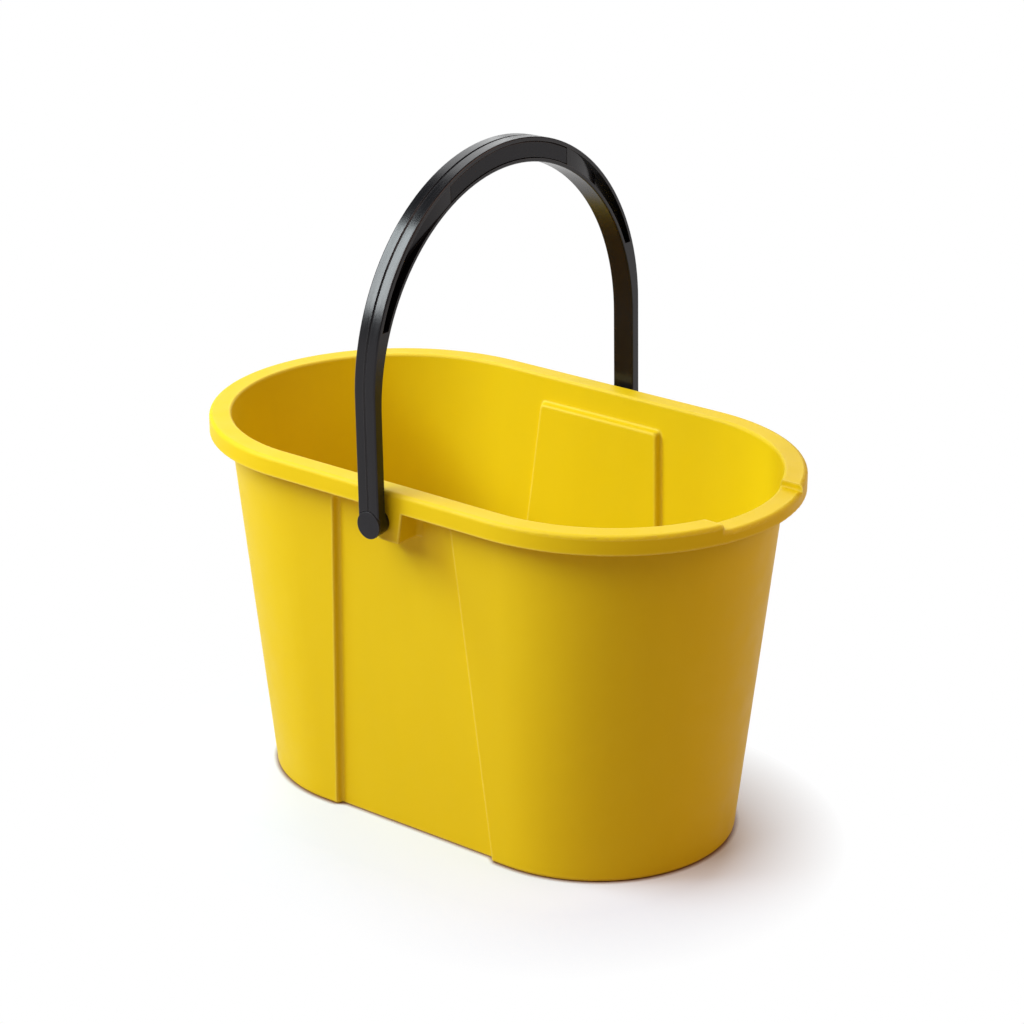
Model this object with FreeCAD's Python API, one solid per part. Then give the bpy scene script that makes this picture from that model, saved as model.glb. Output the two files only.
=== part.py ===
import FreeCAD, Part
import math
import os

# Oval mop bucket with a swing handle, in millimetres, +Z up.
# The origin is on the floor, under the middle of the tub.
# +X is the end with the lowered lip, and the handle's ears are on -Y and +Y.

# Tub: a straight tapered wall between two obrounds, with a raised floor.
# The tapers say how much smaller the foot is than the mouth: the straight's half and the radius.
rim_height = 250.9
rim_half_straight = 86.9
rim_inner_radius = 110.2
end_taper = 8.9
side_taper = 19.6
wall = 2.4
floor_thickness = 3.0
foot_height = 2.5
foot_width = 7.0
base_edge_radius = 2.5
floor_edge_radius = 5.0

# Side panels: a shallow sunk panel on each long side, raised on the inside.
# The margins say how far the panel's edges stay inside the ends of the tub's straights.
panel_depth = 4.6
panel_base_margin = 11.8
panel_top_margin = 40.5
panel_ceiling_below_rim = 19.8
panel_ceiling_slope = 1.2
panel_draft_share = 0.3
panel_corner_radius = 3.0
panel_root_radius = 1.8
panel_edge_radius = 1.2
panel_foot_radius = 1.2

# Rim: a flat top turned down into a skirt, lowered at the +X end.
rim_width = 14.8
rim_skirt_height = 12.9
rim_top_thickness = 2.6
rim_edge_radius = 2.8
rim_lip_radius = 1.8
skirt_wall = 2.4
skirt_foot_radius = 0.8
lip_drop = 4.3
lip_half_width = 42.5

# Pivot: the line that the handle turns on, and the ear on each side of the tub.
pivot_x = 3.9
pivot_below_rim = 20.5
ear_half_width = 16.2
ear_flare_share = 0.136
ear_below_pivot = 12.3
ear_root_radius = 4.0
ear_wall = 3.0
ear_edge_radius = 1.0

# Handle: a flat strap that deepens towards the grip, leaning a little at rest.
handle_width = 16.1
limb_thickness = 7.2
grip_depth = 16.2
arch_rise = 79.9
handle_edge_radius = 1.0
handle_lean_deg = -1.12
crease_half_width = 0.9
crease_depth = 0.6
eye_radius = 9.0
eye_back_radius = 7.8
eye_length = 3.3
eye_gap = 0.4

# Handle pockets: the lightening pocket on each face of the arch.
pocket_rise = 42.2
pocket_outer_lip = 2.7
pocket_inner_lip = 2.4
pocket_depth = 5.4
pocket_land = 4.0
pocket_ramp_length = 32.0

# Grip inserts: the strip that fills the middle of each pocket.
insert_half_length = 58.4
insert_clearance = 0.3
insert_sink = 0.4
insert_edge_radius = 0.5

# Pivot pins: a disc head, a shank and a split snap end.
pin_radius = 4.0
pin_running_gap = 0.08
pin_head_radius = 8.9
pin_head_thickness = 1.7
pin_head_edge_radius = 0.4
pin_head_gap = 0.1
head_seat_radius = 9.4
head_seat_depth = 1.3
barb_height = 0.7
barb_length = 4.6
barb_gap = 0.25
pin_tip_radius = 3.0
pin_slot_width = 1.8
pin_slot_length = 9.0

overrun = 20.0
match = 0.01

V = FreeCAD.Vector
ORIGIN = V(0, 0, 0)
X_AXIS = V(1, 0, 0)
Y_AXIS = V(0, 1, 0)

wall_top_radius = rim_inner_radius + wall
base_radius = wall_top_radius - side_taper
base_half_straight = rim_half_straight - end_taper
panel_base_half_width = base_half_straight - panel_base_margin
panel_top_half_width = rim_half_straight - panel_top_margin
rim_outer_radius = rim_inner_radius + rim_width
skirt_bottom_height = rim_height - rim_skirt_height
lip_height = rim_height - lip_drop
cavity_bottom_height = foot_height + floor_thickness
panel_ceiling_height = rim_height - panel_ceiling_below_rim
pivot_height = rim_height - pivot_below_rim
ear_bottom_height = pivot_height - ear_below_pivot
handle_inner_reach = rim_outer_radius + eye_gap + eye_length
handle_outer_reach = handle_inner_reach + limb_thickness
arch_centre_height = pivot_height + arch_rise
pocket_low_height = arch_centre_height + pocket_rise
inner_arch_height = arch_centre_height + limb_thickness - grip_depth


def obround(half_straight, radius, z):
    """A closed obround outline, long along X, at height z."""
    right = V(half_straight + radius, 0, z)
    left = V(-half_straight - radius, 0, z)
    front_left = V(-half_straight, -radius, z)
    front_right = V(half_straight, -radius, z)
    back_right = V(half_straight, radius, z)
    back_left = V(-half_straight, radius, z)
    return Part.Wire([
        Part.LineSegment(front_left, front_right).toShape(),
        Part.Arc(front_right, right, back_right).toShape(),
        Part.LineSegment(back_right, back_left).toShape(),
        Part.Arc(back_left, left, front_left).toShape(),
    ])


def obround_block(half_straight, radius, z_low, z_high):
    """A straight-sided obround block between two heights."""
    face = Part.Face(obround(half_straight, radius, z_low))
    return face.extrude(V(0, 0, z_high - z_low))


def tub_radius(z):
    """The outer radius of the tub's ends, and so its half width, at height z."""
    return base_radius + side_taper * z / rim_height


def tub_outline(z, inset):
    """The tub's outline at height z, moved inwards by inset."""
    half_straight = base_half_straight + end_taper * z / rim_height
    return obround(half_straight, tub_radius(z) - inset, z)


def tub_block(inset, z_low, z_high):
    """The tapered tub as a solid, moved inwards by inset."""
    return Part.makeLoft([tub_outline(z_low, inset), tub_outline(z_high, inset)], True, True)


def box(x_low, x_high, y_low, y_high, z_low, z_high):
    """A box between two corners."""
    return Part.makeBox(x_high - x_low, y_high - y_low, z_high - z_low, V(x_low, y_low, z_low))


def face_of(points):
    """A flat face through the given points."""
    return Part.Face(Part.makePolygon(points + points[:1]))


def both_sides(shape):
    """A shape on the -Y side and its mirror image on the +Y side."""
    return [shape, shape.mirror(ORIGIN, Y_AXIS)]


def edges_at_height(shape, z):
    """The edges of a shape that lie flat at height z."""
    return [
        edge for edge in shape.Edges
        if abs(edge.BoundBox.ZMin - z) < match and abs(edge.BoundBox.ZMax - z) < match
    ]


def panel_frame(sink, grow):
    """The -Y panel's outline in the plane that lies sink behind the tub's side."""
    low = -overrun
    high = panel_ceiling_height + grow - panel_ceiling_slope * sink / panel_depth
    low_left = panel_corner(-1, low, sink, grow)
    high_left = panel_corner(-1, high, sink, grow)
    high_right = panel_corner(1, high, sink, grow)
    low_right = panel_corner(1, low, sink, grow)
    return Part.makePolygon([low_left, high_left, high_right, low_right, low_left])


def panel_corner(side, z, sink, grow):
    """A point on the panel's edge at height z, on its left or right side."""
    spread = panel_top_half_width - panel_base_half_width
    half_width = panel_base_half_width + spread * z / rim_height
    half_width = half_width + grow - panel_draft_share * sink
    return V(side * half_width, sink - tub_radius(z), z)


def panel_block(grow):
    """What the -Y panel takes out of the tub's side, enlarged by grow all round."""
    return Part.makeLoft(
        [panel_frame(-overrun, grow), panel_frame(panel_depth + grow, grow)], True, True
    )


def panel_foot_cut():
    """What rounds off the foot of the -Y panel, as wide as its sunk face."""
    radius = panel_foot_radius
    corner = panel_corner(-1, 0, panel_depth, 0)
    underside = corner + V(0, radius, 0)
    face = corner + V(0, 0, radius)
    diagonal = radius * (1 - math.cos(math.radians(45)))
    outline = Part.Wire([
        Part.Arc(underside, corner + V(0, diagonal, diagonal), face).toShape(),
        Part.LineSegment(face, face - V(0, radius, 0)).toShape(),
        Part.LineSegment(face - V(0, radius, 0), underside - V(0, radius, radius) * 2).toShape(),
        Part.LineSegment(underside - V(0, radius, radius) * 2, underside - V(0, 0, radius)).toShape(),
        Part.LineSegment(underside - V(0, 0, radius), underside).toShape(),
    ])
    return Part.Face(outline).extrude(V(-corner.x * 2, 0, 0))


def tub_with_panels(inset, z_low, z_high, edge_radius):
    """The tub's form moved inwards by inset, foot edge rounded, with both panels sunk in."""
    shape = tub_block(inset, z_low, z_high)
    shape = shape.makeFillet(edge_radius, edges_at_height(shape, z_low))
    for block in both_sides(panel_block(inset)):
        shape = shape.cut(block)
    shape = shape.makeFillet(panel_corner_radius, panel_corner_edges(shape))
    shape = shape.makeFillet(panel_root_radius, panel_outline_edges(shape, inset, panel_depth))
    return shape.makeFillet(panel_edge_radius, panel_outline_edges(shape, inset, 0))


def centre_distance(point):
    """How far a point lies from the rim's centre line, seen from above."""
    return math.hypot(max(abs(point.x) - rim_half_straight, 0), point.y)


def inner_rim_edges(shape):
    """The edges round the mouth, on the rim's top and on the lowered lip."""
    found = []
    for edge in edges_at_height(shape, rim_height) + edges_at_height(shape, lip_height):
        middle = edge.valueAt((edge.FirstParameter + edge.LastParameter) / 2)
        if rim_inner_radius - wall < centre_distance(middle) < rim_inner_radius + wall:
            found.append(edge)
    return found


def panel_corner_edges(shape):
    """The short edges between a panel's sides and its ceiling."""
    found = []
    for edge in shape.Edges:
        bounds = edge.BoundBox
        centre = edge.CenterOfMass
        near_ceiling = abs(centre.z - panel_ceiling_height) < panel_depth
        on_panel = abs(centre.x) < base_half_straight and bounds.YLength < panel_depth * 2
        if near_ceiling and on_panel and bounds.YLength > panel_depth / 2:
            found.append(edge)
    return found


def panel_outline_edges(shape, inset, sink):
    """The edges of a panel's sides and ceiling that lie sink behind the tub's side."""
    found = []
    for edge in shape.Edges:
        centre = edge.CenterOfMass
        depth = tub_radius(centre.z) - inset - abs(centre.y)
        on_panel = abs(centre.x) < base_half_straight and edge.Length > panel_depth / 2
        between = rim_height / 4 < centre.z < rim_height - match
        if on_panel and between and abs(depth - sink) < panel_depth / 8:
            found.append(edge)
    return found


def rounded_rim_block(z_high):
    """The rim as a solid obround with its outer edges rounded."""
    block = obround_block(rim_half_straight, rim_outer_radius, skirt_bottom_height, z_high)
    block = block.makeFillet(rim_edge_radius, edges_at_height(block, z_high))
    return block.makeFillet(skirt_foot_radius, edges_at_height(block, skirt_bottom_height))


def lip_zone(grow, z_low, z_high):
    """The stretch of rim at the +X end that is lowered, widened by grow."""
    return box(
        0, rim_half_straight + rim_outer_radius + overrun,
        -lip_half_width - grow, lip_half_width + grow, z_low, z_high,
    )


def rim_channel():
    """The hollow under the rim, from the skirt's foot up to the underside of the top."""
    bottom = skirt_bottom_height - overrun
    channel = obround_block(
        rim_half_straight, rim_outer_radius - skirt_wall, bottom, rim_height - rim_top_thickness
    )
    return channel.cut(lip_zone(skirt_wall, lip_height - rim_top_thickness, rim_height))


def ear_width_at(z, inset):
    """Half the ear's width at height z, less inset."""
    return ear_half_width + ear_flare_share * (z - pivot_height) - inset


def ear_section(z):
    """The -Y ear's outline at height z, flared where it meets the sunk panel."""
    half = ear_width_at(z, 0)
    front = -rim_outer_radius
    face = panel_depth - tub_radius(z)
    radius = ear_root_radius
    diagonal = radius * (1 - math.cos(math.radians(45)))
    wide = half + radius
    ring = []
    for side in (-1, 1):
        back = V(pivot_x + side * wide, -base_radius, z)
        root = V(pivot_x + side * wide, face, z)
        bend = V(pivot_x + side * (half + diagonal), face - diagonal, z)
        flank = V(pivot_x + side * half, face - radius, z)
        corner = V(pivot_x + side * half, front, z)
        ring.append([back, root, bend, flank, corner])
    left, right = ring
    return Part.Wire([
        Part.LineSegment(left[0], left[1]).toShape(),
        Part.Arc(left[1], left[2], left[3]).toShape(),
        Part.LineSegment(left[3], left[4]).toShape(),
        Part.LineSegment(left[4], right[4]).toShape(),
        Part.LineSegment(right[4], right[3]).toShape(),
        Part.Arc(right[3], right[2], right[1]).toShape(),
        Part.LineSegment(right[1], right[0]).toShape(),
        Part.LineSegment(right[0], left[0]).toShape(),
    ])


def ear_solid():
    """The -Y ear as a solid block with its front edges rounded."""
    top = rim_height - rim_top_thickness
    ear = Part.makeLoft([ear_section(ear_bottom_height), ear_section(top)], True, True)
    upright = [
        edge for edge in ear.Edges
        if edge.BoundBox.ZLength > ear_wall and edge.CenterOfMass.y < match - rim_outer_radius
    ]
    return ear.makeFillet(ear_edge_radius, upright)


def ear_hollow():
    """The hollow behind the -Y ear's face, open at the bottom."""
    outlines = []
    for z in (ear_bottom_height - overrun, rim_height - rim_top_thickness):
        half = ear_width_at(z, ear_wall)
        front = ear_wall - rim_outer_radius
        outlines.append(Part.makePolygon([
            V(pivot_x - half, front, z), V(pivot_x + half, front, z),
            V(pivot_x + half, -base_radius, z), V(pivot_x - half, -base_radius, z),
            V(pivot_x - half, front, z),
        ]))
    return Part.makeLoft(outlines, True, True)


def bucket_body():
    """The tub, its rim, lowered lip, side panels and hollow ears, moulded in one."""
    tub = tub_with_panels(0, 0, rim_height, base_edge_radius)
    for shape in both_sides(panel_foot_cut()):
        tub = tub.cut(shape)
    cavity = tub_with_panels(wall, cavity_bottom_height, rim_height, floor_edge_radius)

    rim = rounded_rim_block(rim_height).cut(lip_zone(0, 0, rim_height + overrun))
    low_rim = rounded_rim_block(lip_height).common(lip_zone(0, 0, rim_height + overrun))
    rim = rim.fuse(low_rim).cut(rim_channel())

    hollow = ear_hollow().cut(tub)
    bore = Part.makeCylinder(
        pin_radius + pin_running_gap, ear_wall + overrun,
        V(pivot_x, -rim_outer_radius - overrun, pivot_height), Y_AXIS,
    )

    top_cut = lip_zone(0, lip_height, rim_height + overrun)
    body = tub.cut(top_cut).fuse(rim)
    for shape in both_sides(ear_solid()):
        body = body.fuse(shape)
    for shape in both_sides(hollow) + both_sides(bore):
        body = body.cut(shape)
    body = body.cut(cavity)
    underside = tub_block(foot_width, -overrun, foot_height)
    for block in both_sides(panel_block(foot_width)):
        underside = underside.cut(block)
    body = body.cut(underside).removeSplitter()
    return body.makeFillet(rim_lip_radius, inner_rim_edges(body))


def arch_wire(outer_inset, inner_inset, z_low):
    """The handle's arch seen along X, with its outer and inner edges moved inwards."""
    outer = handle_outer_reach - outer_inset
    inner = handle_inner_reach + inner_inset
    outer_top = V(pivot_x, 0, arch_centre_height + outer)
    inner_top = V(pivot_x, 0, inner_arch_height + inner)
    corners = [
        V(pivot_x, -outer, z_low), V(pivot_x, -outer, arch_centre_height),
        V(pivot_x, outer, arch_centre_height), V(pivot_x, outer, z_low),
        V(pivot_x, inner, z_low), V(pivot_x, inner, inner_arch_height),
        V(pivot_x, -inner, inner_arch_height), V(pivot_x, -inner, z_low),
    ]
    return Part.Wire([
        Part.LineSegment(corners[0], corners[1]).toShape(),
        Part.Arc(corners[1], outer_top, corners[2]).toShape(),
        Part.LineSegment(corners[2], corners[3]).toShape(),
        Part.LineSegment(corners[3], corners[4]).toShape(),
        Part.LineSegment(corners[4], corners[5]).toShape(),
        Part.Arc(corners[5], inner_top, corners[6]).toShape(),
        Part.LineSegment(corners[6], corners[7]).toShape(),
        Part.LineSegment(corners[7], corners[0]).toShape(),
    ])


def arch_slab(outer_inset, inner_inset, z_low, x_low, x_high):
    """The arch as a slab between two distances from the handle's middle plane."""
    face = Part.Face(arch_wire(outer_inset, inner_inset, z_low))
    face.translate(V(x_low, 0, 0))
    return face.extrude(V(x_high - x_low, 0, 0))


def crease():
    """The V groove along the middle of the handle's outer face."""
    reach = handle_outer_reach
    low = pivot_height + head_seat_radius
    arch_section = face_of([
        V(pivot_x - crease_half_width, -reach, arch_centre_height),
        V(pivot_x + crease_half_width, -reach, arch_centre_height),
        V(pivot_x, -reach + crease_depth, arch_centre_height),
    ])
    arch = arch_section.revolve(V(pivot_x, 0, arch_centre_height), X_AXIS, -180)
    limb_section = arch_section.copy()
    limb_section.translate(V(0, 0, low - arch_centre_height))
    limb = limb_section.extrude(V(0, 0, arch_centre_height - low))
    return [arch] + both_sides(limb)


def leaned(shape):
    """A handle piece turned about the pivot line to the lean that it rests at."""
    turned = shape.copy()
    turned.rotate(V(pivot_x, 0, pivot_height), Y_AXIS, handle_lean_deg)
    return turned


def pocket_zone(x_low, x_high, clearance):
    """The part of the arch between the lips, above the foot of the pockets."""
    slab = arch_slab(
        pocket_outer_lip + clearance, pocket_inner_lip + clearance,
        pivot_height, x_low, x_high,
    )
    reach = handle_outer_reach + overrun
    above = box(
        pivot_x + x_low, pivot_x + x_high, -reach, reach,
        pocket_low_height, arch_centre_height + reach,
    )
    return slab.common(above)


def pocket_ramp(side):
    """The +Y slope that brings a pocket's floor up to the end of its insert."""
    floor = handle_width / 2 - pocket_depth
    level = handle_width / 2 - insert_sink
    start = insert_half_length + insert_clearance
    bend = start + pocket_land
    drop = level - floor
    radius = (pocket_ramp_length ** 2 + drop ** 2) / (drop * 2)
    turn = math.asin(pocket_ramp_length / radius)
    outline = Part.Wire([
        Part.LineSegment(V(floor, start, 0), V(level, start, 0)).toShape(),
        Part.LineSegment(V(level, start, 0), V(level, bend, 0)).toShape(),
        Part.Arc(
            V(level, bend, 0),
            V(level - radius + radius * math.cos(turn / 2), bend + radius * math.sin(turn / 2), 0),
            V(floor, bend + pocket_ramp_length, 0),
        ).toShape(),
        Part.LineSegment(V(floor, bend + pocket_ramp_length, 0), V(floor, start, 0)).toShape(),
    ])
    ramp = Part.Face(outline).extrude(V(0, 0, arch_centre_height + handle_outer_reach))
    if side < 0:
        ramp = ramp.mirror(ORIGIN, X_AXIS)
    ramp.translate(V(pivot_x, 0, 0))
    return ramp


def bail_handle():
    """The strap handle with its eyes, crease and lightening pockets."""
    half = handle_width / 2
    handle = arch_slab(0, 0, pivot_height, -half, half)
    long_edges = [edge for edge in handle.Edges if edge.Length > arch_centre_height - pivot_height - match]
    handle = handle.makeFillet(handle_edge_radius, long_edges)
    eye_face = -rim_outer_radius - eye_gap
    outer_face = -handle_outer_reach
    seat_face = outer_face + head_seat_depth
    eye = Part.makeCone(
        eye_radius, eye_back_radius, eye_face - outer_face,
        V(pivot_x, outer_face, pivot_height), Y_AXIS,
    )
    seat = Part.makeCylinder(
        head_seat_radius, head_seat_depth + overrun,
        V(pivot_x, outer_face - overrun, pivot_height), Y_AXIS,
    )
    bore = Part.makeCylinder(
        pin_radius + pin_running_gap, eye_face - seat_face + overrun,
        V(pivot_x, seat_face - overrun / 2, pivot_height), Y_AXIS,
    )
    for shape in both_sides(eye):
        handle = handle.fuse(shape)
    for shape in both_sides(seat) + both_sides(bore) + crease():
        handle = handle.cut(shape)
    for side in (-1, 1):
        web = side * (half - pocket_depth)
        face = side * (half + overrun)
        pocket = pocket_zone(min(web, face), max(web, face), 0)
        for shape in both_sides(pocket_ramp(side)):
            pocket = pocket.cut(shape)
        handle = handle.cut(pocket)
    return leaned(handle.removeSplitter())


def grip_insert(side):
    """One strip that fills the middle of a pocket, with its face's edges eased."""
    root = handle_width / 2 - pocket_depth + insert_clearance
    face = handle_width / 2 - insert_sink
    middle = box(
        pivot_x, pivot_x + face + overrun, -insert_half_length, insert_half_length,
        arch_centre_height, arch_centre_height + handle_outer_reach,
    )
    strip = pocket_zone(root, face, insert_clearance).common(middle)
    face_edges = [edge for edge in strip.Edges if edge.BoundBox.XMin > pivot_x + face - match]
    strip = strip.makeFillet(insert_edge_radius, face_edges)
    if side < 0:
        strip = strip.mirror(V(pivot_x, 0, 0), X_AXIS)
    return leaned(strip)


def pivot_pin():
    """The -Y pin: disc head in the handle's seat, shank, and split snap end."""
    ear_back = -rim_outer_radius + ear_wall
    head_back = -handle_outer_reach + head_seat_depth - pin_head_gap
    head_front = head_back - pin_head_thickness
    barb_start = ear_back + barb_gap
    tip = barb_start + barb_length
    barb_radius = pin_radius + barb_height
    profile = face_of([
        V(pivot_x, head_front, pivot_height),
        V(pivot_x, head_front, pivot_height + pin_head_radius),
        V(pivot_x, head_back, pivot_height + pin_head_radius),
        V(pivot_x, head_back, pivot_height + pin_radius),
        V(pivot_x, barb_start, pivot_height + pin_radius),
        V(pivot_x, barb_start, pivot_height + barb_radius),
        V(pivot_x, tip, pivot_height + pin_tip_radius),
        V(pivot_x, tip, pivot_height),
    ])
    pin = profile.revolve(V(pivot_x, 0, pivot_height), Y_AXIS, 360)
    rim_edge = [
        edge for edge in pin.Edges
        if abs(edge.BoundBox.YMax - head_front) < match and edge.BoundBox.YLength < match
    ]
    pin = pin.makeFillet(pin_head_edge_radius, rim_edge)
    slot = box(
        pivot_x - pin_slot_width / 2, pivot_x + pin_slot_width / 2,
        tip - pin_slot_length, tip + overrun,
        pivot_height - barb_radius - overrun, pivot_height + barb_radius + overrun,
    )
    return pin.cut(slot)


near_pin, far_pin = both_sides(pivot_pin())
pieces = {
    "bucket_body": bucket_body(),
    "bail_handle": bail_handle(),
    "grip_insert_front": grip_insert(1),
    "grip_insert_rear": grip_insert(-1),
    "pivot_pin_near": near_pin,
    "pivot_pin_far": far_pin,
}

os.makedirs("parts", exist_ok=True)
for name, shape in pieces.items():
    solids = shape.Solids
    print(name, "solids", len(solids), "valid", shape.isValid(), "volume", round(shape.Volume))
    solids[0].exportStep("parts/" + name + ".step")
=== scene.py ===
import bpy
import math
from mathutils import Euler, Matrix

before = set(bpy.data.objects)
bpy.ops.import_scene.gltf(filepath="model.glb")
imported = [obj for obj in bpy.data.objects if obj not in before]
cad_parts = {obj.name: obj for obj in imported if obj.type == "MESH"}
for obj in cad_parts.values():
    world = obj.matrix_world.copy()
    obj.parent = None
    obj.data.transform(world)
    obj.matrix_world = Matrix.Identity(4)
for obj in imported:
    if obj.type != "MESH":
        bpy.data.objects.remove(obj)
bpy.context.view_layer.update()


# Studio floor: a sheet of white paper. Near the foot it is lit by the lamps and keeps the
# bucket's soft shadow, with a thin line of painted shadow where the foot touches it.
# Further off it fades to plain white.
def new_material(name):
    """An empty node material with its output, ready for a shader."""
    material = bpy.data.materials.new(name)
    material.use_nodes = True
    nodes = material.node_tree.nodes
    for node in list(nodes):
        nodes.remove(node)
    return material, nodes, material.node_tree.links, nodes.new("ShaderNodeOutputMaterial")


def mixed(nodes, links, factor, first, second):
    """A shader between two, by factor."""
    node = nodes.new("ShaderNodeMixShader")
    links.new(factor, node.inputs[0])
    links.new(first, node.inputs[1])
    links.new(second, node.inputs[2])
    return node.outputs[0]


def ramp(nodes, links, factor, low, high, low_value, high_value, smooth=False):
    """Spreads the part of factor between low and high over two values."""
    node = nodes.new("ShaderNodeMapRange")
    if smooth:
        node.interpolation_type = "SMOOTHSTEP"
    node.inputs["From Min"].default_value = low
    node.inputs["From Max"].default_value = high
    node.inputs["To Min"].default_value = low_value
    node.inputs["To Max"].default_value = high_value
    links.new(factor, node.inputs["Value"])
    return node.outputs["Result"]


def blended(nodes, links, factor, first, second):
    """A colour between two, by factor. Each is a fixed colour or a socket."""
    node = nodes.new("ShaderNodeMix")
    node.data_type = "RGBA"
    for slot, colour in (("A", first), ("B", second)):
        if isinstance(colour, tuple):
            node.inputs[slot].default_value = colour
        else:
            links.new(colour, node.inputs[slot])
    links.new(factor, node.inputs["Factor"])
    return node.outputs["Result"]


def seen_directly(nodes, links):
    """1 for what the camera sees, also in a mirror or through glass, and 0 for light."""
    ray = nodes.new("ShaderNodeLightPath")
    seen_so_far = ray.outputs["Is Camera Ray"]
    for other in ("Is Glossy Ray", "Is Transmission Ray"):
        either = nodes.new("ShaderNodeMath")
        either.operation = "MAXIMUM"
        links.new(seen_so_far, either.inputs[0])
        links.new(ray.outputs[other], either.inputs[1])
        seen_so_far = either.outputs[0]
    return seen_so_far


floor_size = 14
bpy.ops.object.select_all(action="DESELECT")
bpy.ops.mesh.primitive_plane_add(size=floor_size, location=(0, 0, 0))
floor = bpy.context.object
floor.name = "studio_floor"
paper, nodes, links, output = new_material("white_paper")
paper.cycles.emission_sampling = "NONE"

# What the paper gives back to the bucket's walls as light.
plain = nodes.new("ShaderNodeBsdfDiffuse")
plain.inputs["Color"].default_value = (0.54, 0.40, 0.30, 1)

# The paper near the foot, with a painted contact shadow: ambient occlusion over a few
# millimetres darkens its colour where the foot touches it.
shaded = nodes.new("ShaderNodeBsdfDiffuse")
# Painted shadow: the dark brown of the contact line under the foot.
painted_contact_shadow_colour = (0.26, 0.16, 0.09, 1)
paper_colour = (0.72, 0.80, 0.95, 1)
contact_reach = 0.005
contact_shade_occlusion = nodes.new("ShaderNodeAmbientOcclusion")
contact_shade_occlusion.samples = 8
contact_shade_occlusion.inputs["Distance"].default_value = contact_reach
open_sky = ramp(nodes, links, contact_shade_occlusion.outputs["AO"], 0.45, 0.85, 0, 1)
links.new(
    blended(nodes, links, open_sky, painted_contact_shadow_colour, paper_colour),
    shaded.inputs["Color"],
)

# The paper further off, by the distance from a line along the middle of the foot. The
# line lies a little towards the viewer, because the shadow falls on that side.
clear = nodes.new("ShaderNodeEmission")
clear.inputs["Strength"].default_value = 1.0
half_line = 0.075
line_shift = -0.035
fade_start, fade_end = 0.110, 0.188
place = nodes.new("ShaderNodeTexCoord")
before_front_end = nodes.new("ShaderNodeVectorMath")
before_front_end.operation = "MINIMUM"
before_front_end.inputs[1].default_value = (half_line, 0, 0)
links.new(place.outputs["Object"], before_front_end.inputs[0])
between_ends = nodes.new("ShaderNodeVectorMath")
between_ends.operation = "MAXIMUM"
between_ends.inputs[1].default_value = (-half_line, 0, 0)
links.new(before_front_end.outputs[0], between_ends.inputs[0])
nearest_on_line = nodes.new("ShaderNodeVectorMath")
nearest_on_line.operation = "MULTIPLY_ADD"
nearest_on_line.inputs[1].default_value = (1, 0, 0)
nearest_on_line.inputs[2].default_value = (0, line_shift, 0)
links.new(between_ends.outputs[0], nearest_on_line.inputs[0])
offset = nodes.new("ShaderNodeVectorMath")
offset.operation = "DISTANCE"
links.new(place.outputs["Object"], offset.inputs[0])
links.new(nearest_on_line.outputs[0], offset.inputs[1])
away = ramp(nodes, links, offset.outputs["Value"], fade_start, fade_end, 0, 1)
seen = mixed(nodes, links, away, shaded.outputs[0], clear.outputs[0])
links.new(
    mixed(nodes, links, seen_directly(nodes, links), plain.outputs[0], seen),
    output.inputs["Surface"],
)
floor.data.materials.append(paper)


# Studio room: white low down, so that the background is white where the paper ends, and
# dim overhead. As light it is only a weak warm glow.
room_light, overhead_dimness = 0.12, 0.08
white_up_to, dim_from = 0.05, 0.26
world = bpy.data.worlds.new("studio_room")
bpy.context.scene.world = world
world.use_nodes = True
world.cycles.sampling_method = "NONE"
nodes, links = world.node_tree.nodes, world.node_tree.links
for node in list(nodes):
    nodes.remove(node)
output = nodes.new("ShaderNodeOutputWorld")
room = nodes.new("ShaderNodeBackground")
room.inputs["Color"].default_value = (1.0, 0.70, 0.52, 1)
room.inputs["Strength"].default_value = room_light
backdrop = nodes.new("ShaderNodeBackground")
backdrop.inputs["Color"].default_value = (1, 1, 1, 1)
direction = nodes.new("ShaderNodeTexCoord")
axes = nodes.new("ShaderNodeSeparateXYZ")
links.new(direction.outputs["Generated"], axes.inputs[0])
links.new(
    ramp(
        nodes, links, axes.outputs["Z"], white_up_to, dim_from, 1, overhead_dimness,
        smooth=True,
    ),
    backdrop.inputs["Strength"],
)
links.new(
    mixed(nodes, links, seen_directly(nodes, links), room.outputs[0], backdrop.outputs[0]),
    output.inputs["Surface"],
)


# Lamps: a tall strip to the front left, which gives the long highlight on the bail, and
# broad panels in front, overhead, behind to the left and, weak and warm, behind to the
# right.
def softbox(name, azimuth, elevation, distance, width, height, power, tint, roll=0):
    """A rectangular light that faces the bucket's middle, rolled on its own axis."""
    middle = 0.18
    across = distance * math.cos(math.radians(elevation))
    rise = distance * math.sin(math.radians(elevation))
    turn = math.radians(azimuth)
    place = (across * math.cos(turn), across * math.sin(turn), middle + rise)
    facing = Euler((math.radians(90 - elevation), 0, turn + math.pi / 2)).to_matrix()
    facing = facing @ Matrix.Rotation(math.radians(roll), 3, "Z")
    bpy.ops.object.light_add(type="AREA", location=place, rotation=facing.to_euler())
    lamp = bpy.context.object
    lamp.name = name
    lamp.data.shape = "RECTANGLE"
    lamp.data.size = width
    lamp.data.size_y = height
    lamp.data.energy = power
    lamp.data.color = tint


softbox(
    "key_light", azimuth=-140, elevation=39, distance=1.95, width=0.42, height=1.32,
    power=30, tint=(0.88, 1.0, 1.0), roll=40,
)
softbox(
    "front_light", azimuth=-112, elevation=40, distance=1.95, width=1.2, height=1.0,
    power=17, tint=(1.0, 0.96, 0.90),
)
softbox(
    "overhead_light", azimuth=-90, elevation=65, distance=1.9, width=1.6, height=1.2,
    power=10, tint=(1.0, 0.76, 0.64),
)
softbox(
    "back_left_light", azimuth=130, elevation=35, distance=1.9, width=1.6, height=1.2,
    power=14, tint=(0.98, 1.0, 1.0),
)
softbox(
    "back_right_light", azimuth=28, elevation=32, distance=1.6, width=1.2, height=1.0,
    power=9.5, tint=(1.0, 0.66, 0.50),
)


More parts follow.
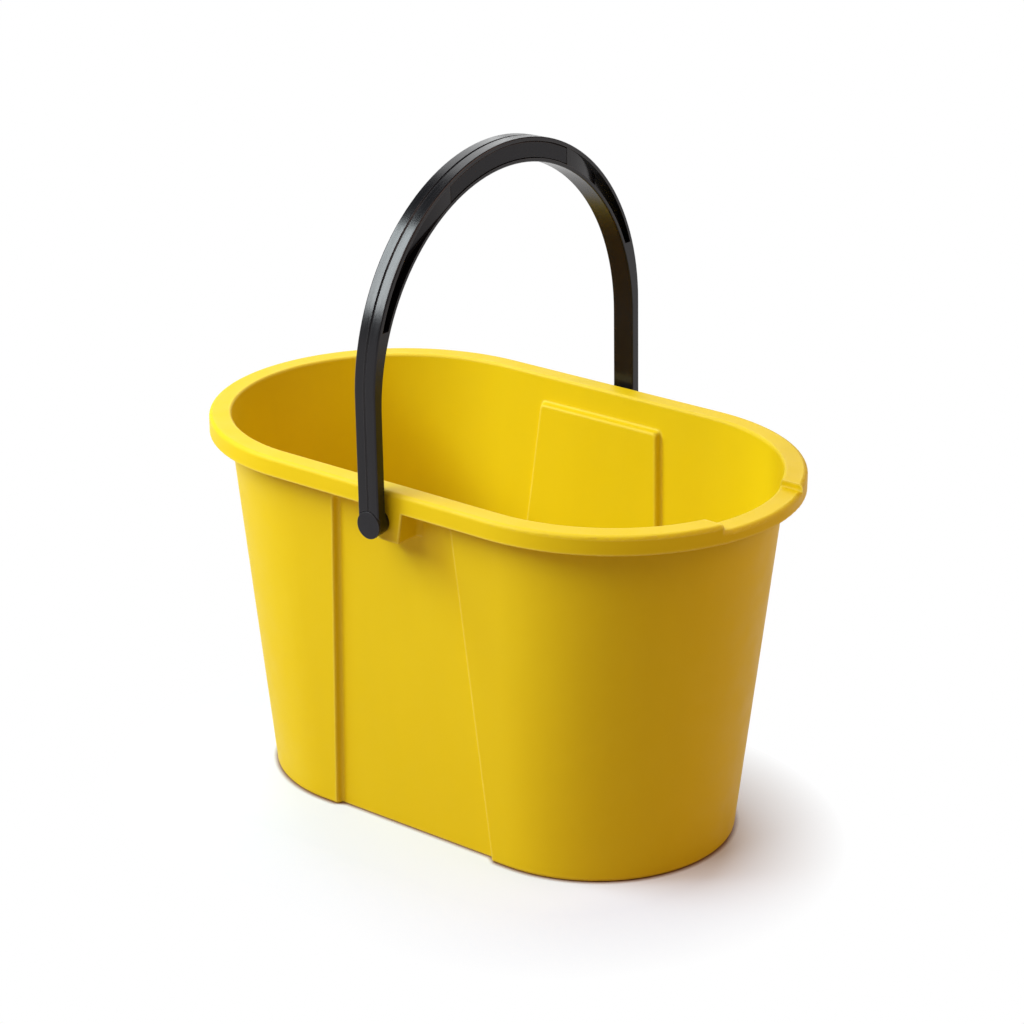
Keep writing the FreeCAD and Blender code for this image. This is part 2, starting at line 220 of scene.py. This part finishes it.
# Camera: the photograph's viewing angle, solved from the rim, the foot and the pivots.
looks_down, looks_round = 21.3839, 38.2417
bpy.ops.object.camera_add(
    location=(1.1392, -1.4338, 0.9136),
    rotation=(math.radians(90 - looks_down), 0, math.radians(looks_round)),
)
camera = bpy.context.object
camera.name = "camera"
camera.data.lens = 105.85
camera.data.sensor_width = 36
bpy.context.scene.camera = camera
bpy.context.scene.view_settings.view_transform = "Standard"


# Bucket: one injection moulding in yellow polypropylene, satin from a finely etched tool.
# The melt leaves faint upright streaks, and the edges are painted a little paler as a
# highlight.
def texture_space(nodes, links, scale=(1, 1, 1)):
    """Object coordinates, stretched by scale."""
    coordinates = nodes.new("ShaderNodeTexCoord")
    mapping = nodes.new("ShaderNodeMapping")
    mapping.inputs["Scale"].default_value = scale
    links.new(coordinates.outputs["Object"], mapping.inputs["Vector"])
    return mapping.outputs["Vector"]


def noise(nodes, links, vector, scale, detail):
    """A noise pattern's factor."""
    node = nodes.new("ShaderNodeTexNoise")
    node.inputs["Scale"].default_value = scale
    node.inputs["Detail"].default_value = detail
    links.new(vector, node.inputs["Vector"])
    return node.outputs["Fac"]


def edge_highlight_mask(nodes, links, radius):
    """How much a point lies on an edge, from 0 to 1, broken up a little by noise, for a
    painted highlight along the edges.
    """
    rounded = nodes.new("ShaderNodeBevel")
    rounded.samples = 4
    rounded.inputs["Radius"].default_value = radius
    surface = nodes.new("ShaderNodeNewGeometry")
    match = nodes.new("ShaderNodeVectorMath")
    match.operation = "DOT_PRODUCT"
    links.new(rounded.outputs[0], match.inputs[0])
    links.new(surface.outputs["Normal"], match.inputs[1])
    edge = ramp(nodes, links, match.outputs["Value"], 0.997, 0.95, 0, 1)
    edge_breakup = noise(nodes, links, texture_space(nodes, links), scale=60, detail=4)
    patches = ramp(nodes, links, edge_breakup, 0.3, 0.6, 0.7, 1)
    both = nodes.new("ShaderNodeMath")
    both.operation = "MULTIPLY"
    links.new(edge, both.inputs[0])
    links.new(patches, both.inputs[1])
    return both.outputs[0]


def grain(nodes, links, scale, depth, strength):
    """The fine etched grain of the tool, as a bump."""
    bump = nodes.new("ShaderNodeBump")
    bump.inputs["Strength"].default_value = strength
    bump.inputs["Distance"].default_value = depth
    etching = noise(nodes, links, texture_space(nodes, links), scale, detail=3)
    links.new(etching, bump.inputs["Height"])
    return bump.outputs[0]


deep_yellow, light_yellow = (0.735, 0.560, 0.0020, 1), (0.760, 0.583, 0.0030, 1)
cloud_yellow = (0.750, 0.553, 0.0015, 1)
# The paler yellow of the painted highlight along the edges.
edge_highlight_yellow = (0.840, 0.700, 0.110, 1)
upright_streaks = (1, 1, 0.12)
yellow, nodes, links, output = new_material("yellow_polypropylene")
skin = nodes.new("ShaderNodeBsdfPrincipled")
links.new(skin.outputs[0], output.inputs["Surface"])
flow = noise(nodes, links, texture_space(nodes, links, upright_streaks), scale=26, detail=3)
clouds = noise(nodes, links, texture_space(nodes, links), scale=9, detail=2)
pigment = blended(
    nodes, links, ramp(nodes, links, flow, 0.3, 0.7, 0, 1), deep_yellow, light_yellow
)
pigment = blended(
    nodes, links, ramp(nodes, links, clouds, 0.35, 0.65, 0, 0.35), pigment, cloud_yellow
)
# Painted highlight: the bucket's edges are made paler.
edge_highlight = edge_highlight_mask(nodes, links, radius=0.0022)
links.new(
    blended(nodes, links, edge_highlight, pigment, edge_highlight_yellow), skin.inputs["Base Color"]
)
satin = noise(nodes, links, texture_space(nodes, links), scale=70, detail=4)
links.new(ramp(nodes, links, satin, 0.3, 0.7, 0.49, 0.57), skin.inputs["Roughness"])
skin.inputs["Specular IOR Level"].default_value = 0.22
links.new(
    grain(nodes, links, scale=1400, depth=0.00012, strength=0.22), skin.inputs["Normal"]
)
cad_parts["bucket_body"].material_slots[0].material = yellow


# Bail: one strap moulded in black polypropylene, smoother than the bucket, with faint
# lines along the flow of the melt. Its eyes turn on the pins in the bucket's ears.
def black_plastic(name, dark, light, smooth, rough, sheen, along):
    """Black plastic between two shades and two roughnesses, streaked as along says."""
    material, nodes, links, output = new_material(name)
    skin = nodes.new("ShaderNodeBsdfPrincipled")
    links.new(skin.outputs[0], output.inputs["Surface"])
    streaks = noise(nodes, links, texture_space(nodes, links, along), scale=320, detail=3)
    shade = blended(
        nodes, links, ramp(nodes, links, streaks, 0.3, 0.7, 0, 1), dark, light
    )
    # Painted highlight: the edges a little paler than the rest of the black.
    edge_highlight_black = (0.040, 0.041, 0.046, 1)
    links.new(
        blended(nodes, links, edge_highlight_mask(nodes, links, radius=0.0007), shade, edge_highlight_black),
        skin.inputs["Base Color"],
    )
    links.new(ramp(nodes, links, streaks, 0.3, 0.7, smooth, rough), skin.inputs["Roughness"])
    skin.inputs["Specular IOR Level"].default_value = sheen
    skin.inputs["Specular Tint"].default_value = (0.95, 0.90, 0.93, 1)
    links.new(
        grain(nodes, links, scale=1900, depth=0.00005, strength=0.06),
        skin.inputs["Normal"],
    )
    return material


strap = black_plastic(
    "black_polypropylene",
    dark=(0.0042, 0.0046, 0.0062, 1), light=(0.0062, 0.0066, 0.0086, 1),
    smooth=0.18, rough=0.25, sheen=0.30, along=(1, 0.06, 0.06),
)
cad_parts["bail_handle"].material_slots[0].material = strap


# Grip inserts: two strips of the same plastic pressed into the pockets at the crown, a
# shade greyer than the strap because their faces are left matt for the hand.
strip = black_plastic(
    "matt_grip_strip",
    dark=(0.0050, 0.0060, 0.0095, 1), light=(0.0065, 0.0078, 0.0120, 1),
    smooth=0.34, rough=0.42, sheen=0.18, along=(1, 0.1, 0.1),
)
for name in ("grip_insert_front", "grip_insert_rear"):
    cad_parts[name].material_slots[0].material = strip


# Pivot pins: two small mouldings pushed through the bail's eyes from outside, their heads
# sunk in a round seat and their split ends sprung open behind the ears.
pin = black_plastic(
    "pin_plastic",
    dark=(0.0065, 0.0070, 0.0095, 1), light=(0.0085, 0.0090, 0.0120, 1),
    smooth=0.28, rough=0.34, sheen=0.27, along=(1, 1, 1),
)
for name in ("pivot_pin_near", "pivot_pin_far"):
    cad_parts[name].material_slots[0].material = pin
